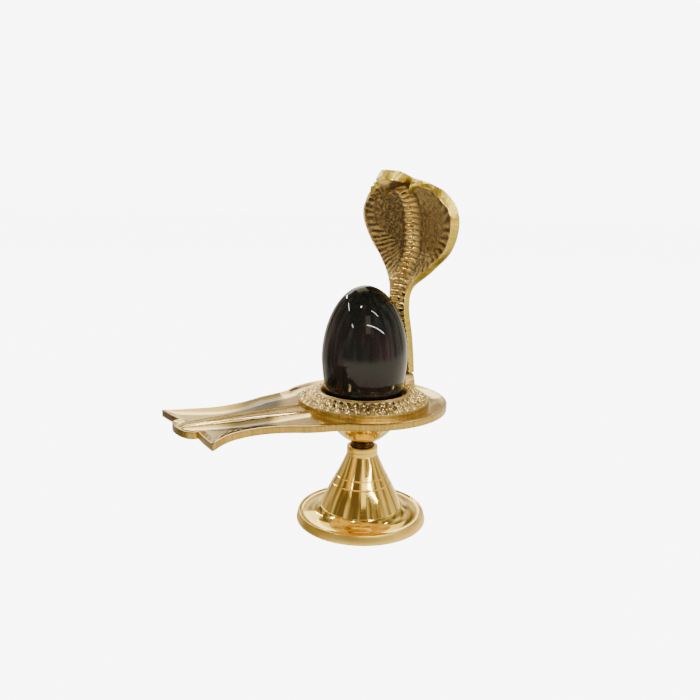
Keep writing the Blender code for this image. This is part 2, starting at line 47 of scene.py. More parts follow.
# Places read from the frame
FOOT_LOW, FOOT_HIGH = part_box("pedestal_foot")
CUP_LOW, CUP_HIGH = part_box("under_cup")
STUD_LOW, STUD_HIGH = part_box("threaded_stud")
PLATE_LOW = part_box("yoni_plate")[0]
STONE_LOW, STONE_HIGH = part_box("lingam_stone")
AXIS = Vector(((FOOT_LOW.x + FOOT_HIGH.x) / 2.0, 0.0, 0.0))

# Camera, measured from the photograph about the pedestal's axis
CAMERA_FOCAL_PX = 750.0
IMAGE_PX = 700.0
SENSOR_MM = 36.0
CAMERA_DISTANCE = 324.7 * MM
CAMERA_HEIGHT = 151.2 * MM
CAMERA_TURN = math.radians(-32.5)
CAMERA_PITCH = math.radians(12.48)
CAMERA_YAW = math.radians(-1.155)
CAMERA_ROLL = math.radians(1.25)

# Lights aim at these heights on the pedestal's axis
LIGHTS_AIM = 70.0 * MM
STRIPS_AIM = 95.0 * MM

# Tube lights: name, azimuth and elevation of each end, width in metres and radiance
STRIPS = (
    ("tube_a", (40.5, 68.9), (-15.0, 52.1), 0.014, 70.0),
    ("tube_b", (-94.7, 52.0), (-71.5, 39.1), 0.014, 80.0),
    ("tube_c", (-117.2, 31.7), (-65.5, 17.3), 0.014, 80.0),
    ("tube_d", (133.4, 42.1), (162.9, 40.4), 0.018, 60.0),
    ("tube_e", (90.0, 24.0), (107.0, 33.0), 0.018, 60.0),
    ("tube_f", (-167.8, 28.6), (-161.0, 25.8), 0.03, 40.0),
)

# Brown for painted shade and reflection, mixed into the cast brass where the mesh marks it
BROWN_SHADE = (0.04, 0.028, 0.018)

# Foot, stud and cup
BAND_HEIGHT = 4.3 * MM
BAND_INNER_RADIUS = 28.5 * MM
CONE_START = 7.0 * MM
CONE_RADIUS = 18.5 * MM
CONE_SWELL = 0.2 * MM
COLLAR_RADIUS = 7.0 * MM
COLLAR_HEIGHT = 4.0 * MM
GROOVES_BELOW_TOP = (13.7 * MM, 17.2 * MM)
GROOVE_HALF_WIDTH = 0.3 * MM
GROOVE_DEPTH = 0.32 * MM
BORE_RADIUS = 5.6 * MM
THREAD_PITCH = 1.3 * MM
THREAD_CORE = 4.55 * MM
THREAD_HEIGHT = 0.6 * MM

# Plate
DISC_RADIUS = 37.19 * MM
SPOUT_REACH = 87.0 * MM
PLATE_EDGE = 3.0 * MM
PLATE_WEB = 1.5 * MM
LIP_WIDTH = 0.8 * MM
SPOUT_JOIN = math.radians(49.5)
SPOUT_WAIST = 17.5 * MM
SPOUT_CORNER = 25.0 * MM
SPOUT_CORNER_BACK = 4.0 * MM
SPOUT_END_SKEW = 0.064
SPOUT_BEND = 0.9 * MM
TONGUE_HALF_WIDTH = 9.2 * MM
TONGUE_SHIFT = 0.5 * MM
NOTCH_DEPTH = 5.2 * MM
DISH_SLOPE = 6.5 * MM
END_SLOPE = 3.5 * MM
CHANNEL_STATIONS = ((29.3, 4.6), (60.0, 3.5), (83.0, 1.5), (87.0, 1.0))
CHANNEL_DEPTH = 0.75 * MM
RIDGE_FOOT = 0.8 * MM
RIDGE_CREST = 0.3 * MM
RIDGE_SPREAD = 2.6 * MM
NEAR_MIDDLE = 0.05 * MM

# Ring
SEAT_RADIUS = 18.0 * MM
SEAT_RISE = 2.0 * MM
RING_INNER = 19.6 * MM
RING_OUTER = 29.3 * MM
RING_EDGE_RISE = 2.4 * MM
RING_CREST_RISE = 6.1 * MM
PETALS = 40
PETAL_WIDTH = 0.96
INNER_PETAL = (3.4 * MM, 2.2 * MM)
OUTER_PETAL = (6.6 * MM, 2.8 * MM)
SMOOTH_BAND = 1.1 * MM

# Lug and cobra
LUG_TURN = math.radians(8.0)
LUG_HEIGHT = 10.7 * MM
LUG_WIDTH = 11.2 * MM
LUG_INSET = 0.4 * MM
LUG_TOP_DEPTH = 6.6 * MM
LUG_FOOT_DEPTH = 8.5 * MM
TANG_WIDTH = 7.0 * MM
TANG_THICKNESS = 2.0 * MM
TANG_LENGTH = 5.0 * MM
TANG_FROM_LUG_FACE = 4.1 * MM
STEM_FROM_LUG_FACE = 3.0 * MM
SLOT_CLEARANCE = 0.4 * MM
SHOULDER_GAP = 0.5 * MM
STEM_HALF_WIDTH = 5.0 * MM
STEM_THICKNESS = 3.4 * MM
HOOD_HALF_WIDTH = 28.2 * MM
HOOD_THICKNESS = 4.3 * MM
HOOD_HOLLOW = 4.6 * MM
COLUMN_HALF_WIDTH = 5.4 * MM
COLUMN_RELIEF = 2.4 * MM
SCUTE_PITCH = 2.6 * MM
JAW_DROP = 3.0 * MM
SNOUT_SLANT = 2.4 * MM
HOOD_CENTRE = 64.0 * MM
HEAD_LEVEL = 80.0 * MM
SCUTE_RELIEF = 0.85 * MM
RIM_START = 0.955
RIM_END = 0.985
EDGE_CROWN = 0.16 * MM
BACK_RIDGE = 0.25 * MM

# Front face of the cobra in mm: set-back from the stem's foot, height above it, half width
COBRA_STATIONS = (
    (0.0, 0.0, 5.0),
    (-1.8, 15.0, 5.0),
    (-4.7, 31.0, 5.0),
    (-3.5, 41.0, 6.77),
    (1.1, 49.0, 15.23),
    (3.7, 57.1, 23.21),
    (2.8, 69.0, 28.2),
    (1.1, 76.8, 26.87),
    (-2.0, 81.4, 23.41),
    (-4.0, 83.1, 19.32),
    (-4.9, 83.7, 13.54),
    (-5.8, 84.1, 7.59),
    (-10.1, 85.6, 6.9),
    (-14.2, 86.3, 6.0),
    (-16.6, 86.5, 2.07),
)


# Helpers for meshes


def smooth_steps(stations, count):
    # Catmull-Rom curve through the stations, with count steps between each pair
    stations = [np.array(station, float) for station in stations]
    rows = []
    last = len(stations) - 1
    for index in range(last):
        a = stations[max(index - 1, 0)]
        b = stations[index]
        c = stations[index + 1]
        d = stations[min(index + 2, last)]
        for step in range(count):
            t = step / count
            rows.append(0.5 * (2.0 * b + (c - a) * t + (2.0 * a - 5.0 * b + 4.0 * c - d) * t ** 2
                               + (3.0 * b - a - 3.0 * c + d) * t ** 3))
    rows.append(stations[last])
    return np.array(rows)


def ramp(value, low, high):
    t = np.clip((value - low) / (high - low), 0.0, 1.0)
    return t * t * (3.0 - 2.0 * t)


def window(value, low, full, fade, high):
    # Rises from 0 at low to 1 at full, and falls from fade to 0 at high
    return ramp(value, low, full) * (1.0 - ramp(value, fade, high))


def bell(value, centre, width):
    return np.exp(-((value - centre) / width) ** 2)


def noise_field(points, size, seed=0.0):
    # Smooth noise from -1 to 1 at each point, with features about size across
    flat = np.asarray(points, float).reshape(-1, 3) / size + seed
    values = np.array([noise.noise(Vector(p)) for p in flat])
    return values.reshape(np.asarray(points).shape[:-1])


def new_object(name, points, faces, material):
    mesh = bpy.data.meshes.new(name)
    mesh.from_pydata([tuple(p) for p in points], [], faces)
    mesh.validate()
    mesh.update()
    mesh.materials.append(material)
    piece = bpy.data.objects.new(name, mesh)
    bpy.context.scene.collection.objects.link(piece)
    return piece


def make_piece(name, points, faces, material, sharp=35.0, **marks):
    # The marks are values at the vertices, which the materials read
    piece = new_object(name, points, faces, material)
    mesh = piece.data
    for label, values in marks.items():
        attribute = mesh.attributes.new(label, "FLOAT", "POINT")
        attribute.data.foreach_set("value", np.asarray(values, np.float32).ravel())
    mesh.shade_smooth()
    if sharp < 180.0:
        mesh.set_sharp_from_angle(angle=math.radians(sharp))
    return piece


def stand_in(piece, node, replaces=True):
    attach(piece, "root")
    if replaces:
        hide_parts(node)
    return piece


def loft(loops, closed_ends=True):
    # Faces between equal loops of points, first and last capped
    loops = [np.asarray(loop, float) for loop in loops]
    count = len(loops[0])
    points = np.concatenate(loops)
    faces = []
    for row in range(len(loops) - 1):
        low = row * count
        high = low + count
        for index in range(count):
            after = (index + 1) % count
            faces.append((low + index, low + after, high + after, high + index))
    if closed_ends:
        faces.append(tuple(reversed(range(count))))
        faces.append(tuple(range(len(points) - count, len(points))))
    return points, faces


def turned(profile, segments, centre):
    # Spins a closed half-section, points near the axis become one vertex
    angles = np.linspace(0.0, 2.0 * math.pi, segments, endpoint=False)
    points = []
    rings = []
    for radius, height in profile:
        start = len(points)
        if radius < 1e-7:
            points.append((centre.x, centre.y, height))
            rings.append([start] * segments)
            continue
        for angle in angles:
            points.append((centre.x + radius * math.cos(angle), centre.y + radius * math.sin(angle), height))
        rings.append(list(range(start, start + segments)))
    faces = []
    pairs = list(zip(rings, rings[1:]))
    if rings[0][0] != rings[0][1]:
        pairs.append((rings[-1], rings[0]))
    for low, high in pairs:
        for index in range(segments):
            after = (index + 1) % segments
            corners = tuple(dict.fromkeys((low[index], low[after], high[after], high[index])))
            if len(corners) > 2:
                faces.append(corners)
    return points, faces


# Materials


class Nodes:
    """Short helper for building the nodes of a material or the world."""

    def __init__(self, owner, shader="Principled BSDF"):
        owner.use_nodes = True
        self.material = owner
        self.tree = owner.node_tree
        self.shader = self.tree.nodes[shader]

    def feed(self, socket, value):
        # A socket takes another node's output, a colour or a plain value
        if isinstance(value, bpy.types.NodeSocket):
            self.tree.links.new(value, socket)
        elif socket.type == "RGBA":
            socket.default_value = (*value, 1.0)
        else:
            socket.default_value = value

    def set(self, label, value):
        self.feed(self.shader.inputs[label], value)

    def add(self, kind, inputs, **settings):
        node = self.tree.nodes.new(kind)
        for key, value in settings.items():
            setattr(node, key, value)
        for key, value in inputs.items():
            self.feed(node.inputs[key], value)
        return node

    def place(self, space="Object"):
        return self.add("ShaderNodeTexCoord", {}).outputs[space]

    def noise(self, scale, detail=3.0, stretch=(1.0, 1.0, 1.0), roughness=0.5, space="Object"):
        mapping = self.add("ShaderNodeMapping", {"Vector": self.place(space), "Scale": stretch})
        inputs = {"Vector": mapping.outputs["Vector"], "Scale": scale, "Detail": detail}
        inputs["Roughness"] = roughness
        return self.add("ShaderNodeTexNoise", inputs).outputs["Fac"]

    def ramp(self, source, stops):
        node = self.add("ShaderNodeValToRGB", {"Fac": source})
        elements = node.color_ramp.elements
        while len(elements) < len(stops):
            elements.new(0.5)
        for element, (position, colour) in zip(elements, stops):
            element.position = position
            if isinstance(colour, float):
                colour = (colour, colour, colour)
            element.color = (*colour, 1.0)
        return node.outputs["Color"]

    def math(self, operation, first, second):
        return self.add("ShaderNodeMath", {0: first, 1: second}, operation=operation).outputs["Value"]

    def dot(self, first, second):
        node = self.add("ShaderNodeVectorMath", {0: first, 1: second}, operation="DOT_PRODUCT")
        return node.outputs["Value"]

    def mark(self, label):
        return self.add("ShaderNodeAttribute", {}, attribute_name=label).outputs["Fac"]

    def mix(self, factor, first, second):
        node = self.add("ShaderNodeMix", {"Factor": factor, "A": first, "B": second}, data_type="RGBA")
        return node.outputs["Result"]

    def bump(self, height, distance, strength=1.0, under=None):
        inputs = {"Height": height, "Distance": distance, "Strength": strength}
        if under is not None:
            inputs["Normal"] = under
        return self.add("ShaderNodeBump", inputs).outputs["Normal"]


def polished_brass(name, light, deep, rough=(0.05, 0.13)):
    # Turned and buffed brass with fine rings round the axis and soft smears
    nodes = Nodes(bpy.data.materials.new(name))
    smear = nodes.noise(90.0, 4.0)
    rings = nodes.noise(1.0, 3.0, (40.0, 40.0, 5200.0))
    plain = nodes.ramp(rings, ((0.3, rough[0]), (0.75, rough[1])))
    nodes.set("Base Color", nodes.ramp(smear, ((0.3, deep), (0.65, light))))
    nodes.set("Metallic", 1.0)
    nodes.set("Roughness", nodes.mix(nodes.mark("filed"), plain, (0.34, 0.34, 0.34)))
    nodes.set("Normal", nodes.bump(smear, 0.0001, 0.1, nodes.bump(rings, 0.00001, 0.4)))
    return nodes.material


def cast_brass(name, light, deep, dark, edge, file_stretch, rough=(0.07, 0.16), grain=0.00005):
    # Cast brass, buffed on its high places, with painted shade in the recesses and other places the mesh
    # marks, and filed on the edges the mesh marks
    nodes = Nodes(bpy.data.materials.new(name))
    cavity = nodes.mark("cavity")
    filed = nodes.mark("filed")
    smear = nodes.noise(120.0, 5.0)
    speck = nodes.noise(1900.0, 3.0)
    strokes = nodes.noise(1.0, 3.0, file_stretch, 0.6)

    body = nodes.ramp(smear, ((0.3, deep), (0.68, light)))
    stroke_shade = nodes.math("MULTIPLY", nodes.math("SUBTRACT", 0.72, strokes), 1.1)
    recess_shade = nodes.math("MULTIPLY", cavity, nodes.math("ADD", speck, 0.5))
    shade = nodes.math("MAXIMUM", recess_shade, nodes.math("MULTIPLY", filed, stroke_shade))
    # Painted shade: the places the mesh marks are mixed towards the dark colour
    shaded_body = nodes.mix(shade, nodes.mix(filed, body, edge), dark)
    # Painted brown shade and reflection where the mesh marks it
    nodes.set("Base Color", nodes.mix(nodes.mark("smoke"), shaded_body, BROWN_SHADE))
    nodes.set("Metallic", 1.0)

    plain = nodes.ramp(smear, ((0.3, rough[0]), (0.7, rough[1])))
    worn = nodes.mix(filed, plain, (0.3, 0.3, 0.3))
    dull = nodes.math("MINIMUM", nodes.math("MULTIPLY", cavity, 4.0), 1.0)
    nodes.set("Roughness", nodes.mix(dull, worn, (0.42, 0.42, 0.42)))

    coarse = nodes.math("MULTIPLY", nodes.math("MAXIMUM", filed, dull), speck)
    marks = nodes.bump(nodes.math("MULTIPLY", filed, strokes), 0.0002, 0.6, nodes.bump(coarse, grain, 0.6))
    nodes.set("Normal", nodes.bump(smear, 0.0002, 0.12, marks))
    return nodes.material


def black_stone(name):
    # Polished near-black stone with a faint cloud of deep brown and red
    nodes = Nodes(bpy.data.materials.new(name))
    cloud = nodes.noise(38.0, 4.0)
    fleck = nodes.noise(1400.0, 2.0)
    tones = ((0.48, (0.0034, 0.004, 0.0034)), (0.66, (0.0085, 0.0036, 0.0038)))
    nodes.set("Base Color", nodes.ramp(cloud, tones))
    nodes.set("Roughness", nodes.ramp(fleck, ((0.45, 0.025), (0.75, 0.06))))
    nodes.set("Normal", nodes.bump(cloud, 0.0004, 0.12))
    nodes.set("IOR", 1.36)
    return nodes.material


def screw_steel(name):
    # Dull brown oxide on steel
    nodes = Nodes(bpy.data.materials.new(name))
    blotch = nodes.noise(420.0, 4.0)
    nodes.set("Base Color", nodes.ramp(blotch, ((0.35, (0.06, 0.032, 0.016)), (0.7, (0.24, 0.15, 0.08)))))
    nodes.set("Metallic", 1.0)
    nodes.set("Roughness", nodes.ramp(blotch, ((0.3, 0.5), (0.7, 0.32))))
    nodes.set("Normal", nodes.bump(nodes.noise(2600.0), 0.00004, 0.5))
    return nodes.material


def studio_pale(name, base, glow):
    nodes = Nodes(bpy.data.materials.new(name))
    nodes.set("Base Color", (base, base, base))
    nodes.set("Roughness", 0.9)
    nodes.set("Specular IOR Level", 0.0)
    nodes.set("Emission Color", (1.0, 1.0, 1.0))
    nodes.set("Emission Strength", glow)
    return nodes.material


# Pedestal foot


def foot_profile():
    bottom = FOOT_LOW.z
    top = FOOT_HIGH.z
    band = smooth_steps(((29.45, 0.0), (29.66, 0.3), (29.68, 0.8), (29.45, 2.0), (29.1, 3.2),
                         (28.84, 3.9)), 6)
    edge = smooth_steps(((28.7, 4.12), (28.4, 4.18), (28.0, 4.0), (27.3, 3.6), (25.6, 3.6), (23.2, 4.1),
                         (21.0, 5.0), (19.5, 6.15), (18.8, 6.9)), 8)
    points = [tuple(p) for p in np.concatenate((band, edge)) * MM]
    cone_high = top - COLLAR_HEIGHT
    grooves = [top - depth for depth in GROOVES_BELOW_TOP]
    heights = list(np.linspace(CONE_START, cone_high, 48))
    for groove in grooves:
        heights.extend(groove + offset * MM for offset in (-0.34, -0.26, -0.12, 0.0, 0.12, 0.26, 0.34))
    for height in sorted(heights):
        share = (height - CONE_START) / (cone_high - CONE_START)
        swell = CONE_SWELL * math.sin(2.0 * math.pi * share)
        radius = CONE_RADIUS + (COLLAR_RADIUS - CONE_RADIUS) * share + swell
        for groove in grooves:
            radius -= GROOVE_DEPTH * max(0.0, 1.0 - ((height - groove) / GROOVE_HALF_WIDTH) ** 2)
        points.append((radius, height))
    # The collar has a fine turned line, and a small round at its top
    collar = smooth_steps(((0.0, 0.0), (0.02, 0.5), (0.0, 1.3)), 4) * MM
    points.extend((COLLAR_RADIUS + swell, cone_high + height) for swell, height in collar)
    for inset, below in ((0.07, 2.58), (0.0, 2.44), (0.0, 0.35), (0.1, 0.12), (0.35, 0.0)):
        points.append((COLLAR_RADIUS - inset * MM, top - below * MM))
    points.extend((BORE_RADIUS, bottom + height * MM) for height in (35.3, 24.0))
    hollow = ((8.0, 21.5), (9.4, 20.0), (13.0, 14.0), (16.6, 6.9), (19.0, 3.6), (22.5, 2.0), (25.4, 1.65),
              (25.45, 0.0))
    points.extend((radius * MM, bottom + height * MM) for radius, height in hollow)
    return points


def make_foot(material):
    # The band at the foot and the collar are less polished than the cone
    segments = 192
    profile = foot_profile()
    points, faces = turned(profile, segments, AXIS)
    band = FOOT_LOW.z + BAND_HEIGHT
    collar = FOOT_HIGH.z - COLLAR_HEIGHT
    worn = []
    for radius, height in profile:
        on_band = height < band and radius > BAND_INNER_RADIUS
        worn.append(float(on_band or height >= collar))
    piece = make_piece("foot_bell", points, faces, material, filed=np.repeat(worn, segments), sharp=28.0)
    return stand_in(piece, "pedestal_foot")


# Threaded stud


def make_stud(material):
    # One turned body whose thread climbs as a helix and fades at both ends
    segments = 64
    rows_per_turn = 8.0
    length = STUD_HIGH.z - STUD_LOW.z
    steps = int(length / (THREAD_PITCH / rows_per_turn))
    loops = []
    for step in range(steps + 1):
        climbed = length * step / steps
        fade = min(1.0, step / rows_per_turn, (steps - step) / rows_per_turn)
        loop = []
        for index in range(segments):
            angle = 2.0 * math.pi * index / segments
            phase = (climbed / THREAD_PITCH - index / segments) % 1.0
            flank = 1.0 - abs(2.0 * phase - 1.0)
            radius = THREAD_CORE + THREAD_HEIGHT * min(1.0, 1.25 * flank) * fade
            loop.append((AXIS.x + radius * math.cos(angle), radius * math.sin(angle), STUD_LOW.z + climbed))
        loops.append(loop)
    points, faces = loft(loops)
    return stand_in(make_piece("stud_screw", points, faces, material), "threaded_stud")


# Cup


def make_cup(material):
    low = CUP_LOW.z
    curve = smooth_steps(((6.0, 0.0), (7.4, 0.6), (9.4, 2.0), (11.5, 3.9), (13.5, 6.2), (15.2, 8.8),
                          (16.4, 11.6), (17.05, 14.2), (17.15, 15.4)), 8) * MM
    profile = [(BORE_RADIUS, CUP_HIGH.z), (BORE_RADIUS, low)]
    profile.extend((radius, low + height) for radius, height in curve)
    profile.append((16.9 * MM, CUP_HIGH.z))
    points, faces = turned(profile, 160, AXIS)
    return stand_in(make_piece("cup_bowl", points, faces, material), "under_cup")


# Plate


def half_outline():
    # Distance along the spout and half width of the disc, the side, the end and the tongue, one after another
    corner = SPOUT_REACH - SPOUT_CORNER_BACK
    start = DISC_RADIUS * math.cos(SPOUT_JOIN)
    at_disc = DISC_RADIUS * math.sin(SPOUT_JOIN) / SPOUT_WAIST
    shares = ((0.0, at_disc), (0.082, 1.52), (0.176, 1.446), (0.269, 1.354), (0.354, 1.217), (0.439, 1.103),
              (0.524, 1.034), (0.618, 1.0), (0.711, 1.023), (0.813, 1.12), (0.907, 1.251),
              (1.0, SPOUT_CORNER / SPOUT_WAIST))
    stations = [(start + (corner - start) * share, width * SPOUT_WAIST) for share, width in shares]
    angles = np.linspace(math.pi, SPOUT_JOIN, 150, endpoint=False)
    disc = DISC_RADIUS * np.column_stack((np.cos(angles), np.sin(angles)))
    side = smooth_steps(stations, 13)
    notch = SPOUT_REACH - NOTCH_DEPTH
    share = np.linspace(0.0, 1.0, 36)[1:-1]
    end = np.column_stack((corner + (notch - corner) * share ** 1.8,
                           SPOUT_CORNER + (TONGUE_HALF_WIDTH - SPOUT_CORNER) * share))
    angles = np.linspace(0.5 * math.pi, 0.0, 34)
    trim = NOTCH_DEPTH - 0.05 * MM
    tongue = np.column_stack((notch + trim * np.abs(np.cos(angles)) ** 0.7,
                              TONGUE_HALF_WIDTH * np.sin(angles)))
    disc[0, 1] = 0.0
    tongue[-1, 1] = 0.0
    return disc, side, end, tongue


def channel_half_width(along):
    places, widths = zip(*CHANNEL_STATIONS)
    return np.interp(along / MM, places, widths) * MM


def guide_lines(disc, side, end, tongue):
    # Outer foot of the ring and of a ridge, and the line inside them, one point for each point of the outline
    inside = RING_OUTER - 0.5 * MM
    core = inside - 1.5 * MM
    mouth = math.radians(11.0)
    turn = 40.0 * MM
    corner = 66.0 * MM
    notch = 80.3 * MM
    reach = SPOUT_REACH - 1.6 * MM
    along = side[:, 0]
    angle = SPOUT_JOIN + (mouth - SPOUT_JOIN) * np.clip((along - along[0]) / (turn - along[0]), 0.0, 1.0)
    first = inside * math.cos(mouth)
    on_side = first + (corner - first) * np.clip((along - turn) / (along[-1] - turn), 0.0, 1.0)
    on_end = np.linspace(corner + 0.3 * MM, notch, len(end))
    on_tongue = np.linspace(notch + 0.2 * MM, reach, len(tongue))
    close = np.linspace(0.0, 1.0, len(tongue)) ** 12
    outer = [inside * disc / DISC_RADIUS]
    inner = [core * disc / DISC_RADIUS]
    on_ring = along < turn
    circle = np.column_stack((np.cos(angle), np.sin(angle)))
    straight = np.column_stack((on_side, channel_half_width(on_side) + RIDGE_FOOT))
    middle = np.column_stack((on_side, np.full(len(on_side), NEAR_MIDDLE)))
    outer.append(np.where(on_ring[:, None], inside * circle, straight))
    inner.append(np.where(on_ring[:, None], core * circle, middle))
    for run, shrink in ((on_end, np.zeros(len(end))), (on_tongue, close)):
        width = channel_half_width(run) + RIDGE_FOOT
        outer.append(np.column_stack((run, width * (1.0 - shrink))))
        inner.append(np.column_stack((run, NEAR_MIDDLE * (1.0 - shrink))))
    return np.concatenate(outer), np.concatenate(inner)


def both_sides(half):
    mirrored = half[-2:0:-1] * np.array((1.0, -1.0))
    return np.concatenate((half, mirrored))


def bent(loop):
    # The spout's sides lean a little towards +Y in the middle of its length
    along = loop[:, 0]
    shift = SPOUT_BEND * window(along, 32.0 * MM, 56.0 * MM, 70.0 * MM, 81.0 * MM)
    lean = shift * ramp(np.abs(loop[:, 1]), 6.0 * MM, 12.0 * MM)
    return np.column_stack((along, loop[:, 1] + lean - TONGUE_SHIFT * ramp(along, 79.0 * MM, 82.0 * MM)))


def inward_steps(loop):
    # Mitred inward direction at each point of a closed loop
    before = loop - np.roll(loop, 1, axis=0)
    after = np.roll(loop, -1, axis=0) - loop
    before /= np.linalg.norm(before, axis=1)[:, None]
    after /= np.linalg.norm(after, axis=1)[:, None]
    first = np.column_stack((before[:, 1], -before[:, 0]))
    second = np.column_stack((after[:, 1], -after[:, 0]))
    joint = first + second
    joint /= np.linalg.norm(joint, axis=1)[:, None]
    return joint / np.maximum(np.sum(joint * first, axis=1), 0.55)[:, None]


def distance_to(points, chain):
    # Shortest distance from each point to a chain of straight pieces
    start = chain[:-1]
    span = chain[1:] - start
    square = np.maximum(np.sum(span ** 2, axis=1), 1e-18)
    result = np.empty(len(points))
    size = 4000
    for low in range(0, len(points), size):
        block = points[low:low + size]
        offset = block[:, None, :] - start[None, :, :]
        t = np.clip(np.sum(offset * span[None, :, :], axis=2) / square[None, :], 0.0, 1.0)
        gap = offset - t[:, :, None] * span[None, :, :]
        result[low:low + size] = np.sqrt(np.min(np.sum(gap ** 2, axis=2), axis=1))
    return result


def spout_brown_shade(along, across, from_side, inside, crest_line):
    # Painted brown shade and reflection: a band across the root of the spout, and an arc along the disc's
    # edge beside it
    level = 0.843 * along + 0.537 * across
    band = window(level, 33.0 * MM, 39.0 * MM, 50.0 * MM, 62.0 * MM)
    band = band * (from_side > LIP_WIDTH) * (along > RING_OUTER)
    arc = bell(from_side, 2.4 * MM, 1.3 * MM) * (across > 12.0 * MM)
    arc = arc * window(level, 22.0 * MM, 27.0 * MM, 33.0 * MM, 36.0 * MM)
    return np.maximum(band * np.where(inside, 0.3, 0.85) * (1.0 - 0.7 * crest_line), 0.8 * arc)


def dish_height(flat, loop, edge):
    # Height of the plate's top at points along and across, its painted shade, its painted brown shade and
    # reflection, and its worn places.
    # The loop's first points, edge of them, run along the disc and one side.
    total = len(loop)
    sides = (loop[:edge], np.concatenate((loop[total - edge + 1:], loop[:1])))
    from_side = np.minimum(distance_to(flat, sides[0]), distance_to(flat, sides[1]))
    from_end = distance_to(flat, loop[edge - 1:total - edge + 2])
    along = flat[:, 0]
    across = flat[:, 1]

    # The dished ground, shallower towards the spout's end
    depth = (PLATE_EDGE - PLATE_WEB) * (1.0 - 0.55 * ramp(along, 62.0 * MM, SPOUT_REACH))
    slope = 1.0 - (1.0 - np.clip((from_side - LIP_WIDTH) / DISH_SLOPE, 0.0, 1.0)) ** 2.2
    close = 1.0 - (1.0 - np.clip((from_end - 0.7 * LIP_WIDTH) / END_SLOPE, 0.0, 1.0)) ** 2
    spot = np.column_stack((along, across, np.zeros(len(flat))))
    wave = 0.035 * MM * noise_field(spot, 9.0 * MM, 2.0) + 0.012 * MM * noise_field(spot, 3.5 * MM, 6.0)
    trough = PLATE_EDGE - depth * slope * close + wave * slope * close

    # The channel's bed between its two ridges
    half = channel_half_width(along)
    reach = window(along, 27.0 * MM, 30.0 * MM, 83.6 * MM, 86.6 * MM)
    rise = np.interp(along / MM, (30.0, 36.0, 47.0, 58.0, 71.0, 85.0), (0.0, 0.3, 0.62, 0.78, 0.9, 0.7)) * MM
    from_crest = np.abs(np.abs(across) - half)
    inside = np.abs(across) < half
    broad = np.where(inside, 0.0, 0.42)
    crest_line = bell(from_crest, 0.0, RIDGE_CREST)
    ridge = (1.0 - broad) * crest_line + broad * bell(from_crest, 0.0, RIDGE_SPREAD)
    grain = noise_field(spot, 1.1 * MM, 4.0) + 0.5 * noise_field(spot, 0.5 * MM, 12.0)
    groove = bell(across, 0.0, 0.35 * MM) * ramp(along, 45.0 * MM, 78.0 * MM)
    narrow = half / (CHANNEL_STATIONS[0][1] * MM)
    bed = PLATE_EDGE - CHANNEL_DEPTH + 0.6 * rise + narrow * (0.11 * MM * grain - 0.35 * MM * groove)
    ground = np.where(inside, trough + (bed - trough) * reach, trough)
    crest = PLATE_EDGE + rise
    height = ground + (crest - ground) * ridge * reach

    # Painted shade: the channel is dark in its pits and along its middle groove, and a thin dark line runs
    # outside each ridge
    dark = inside * (1.0 - ridge) * np.clip(0.42 - 0.5 * grain + 0.4 * groove, 0.05, 0.85)
    dark = dark + 0.35 * (~inside) * bell(from_crest, 0.9 * MM, 0.25 * MM)
    dark = dark * reach * (np.abs(across) < half + 2.0 * MM)
    smoke = spout_brown_shade(along, across, from_side, inside, crest_line)
    return height, np.clip(dark, 0.0, 0.9), smoke, 0.6 * inside * reach * (1.0 - ridge)


def skewed(flat):
    # The spout's end is filed a little askew
    along = flat[:, 0]
    turn = ramp(along, 0.80 * SPOUT_REACH, 0.93 * SPOUT_REACH)
    return np.column_stack((along + SPOUT_END_SKEW * flat[:, 1] * turn, flat[:, 1]))


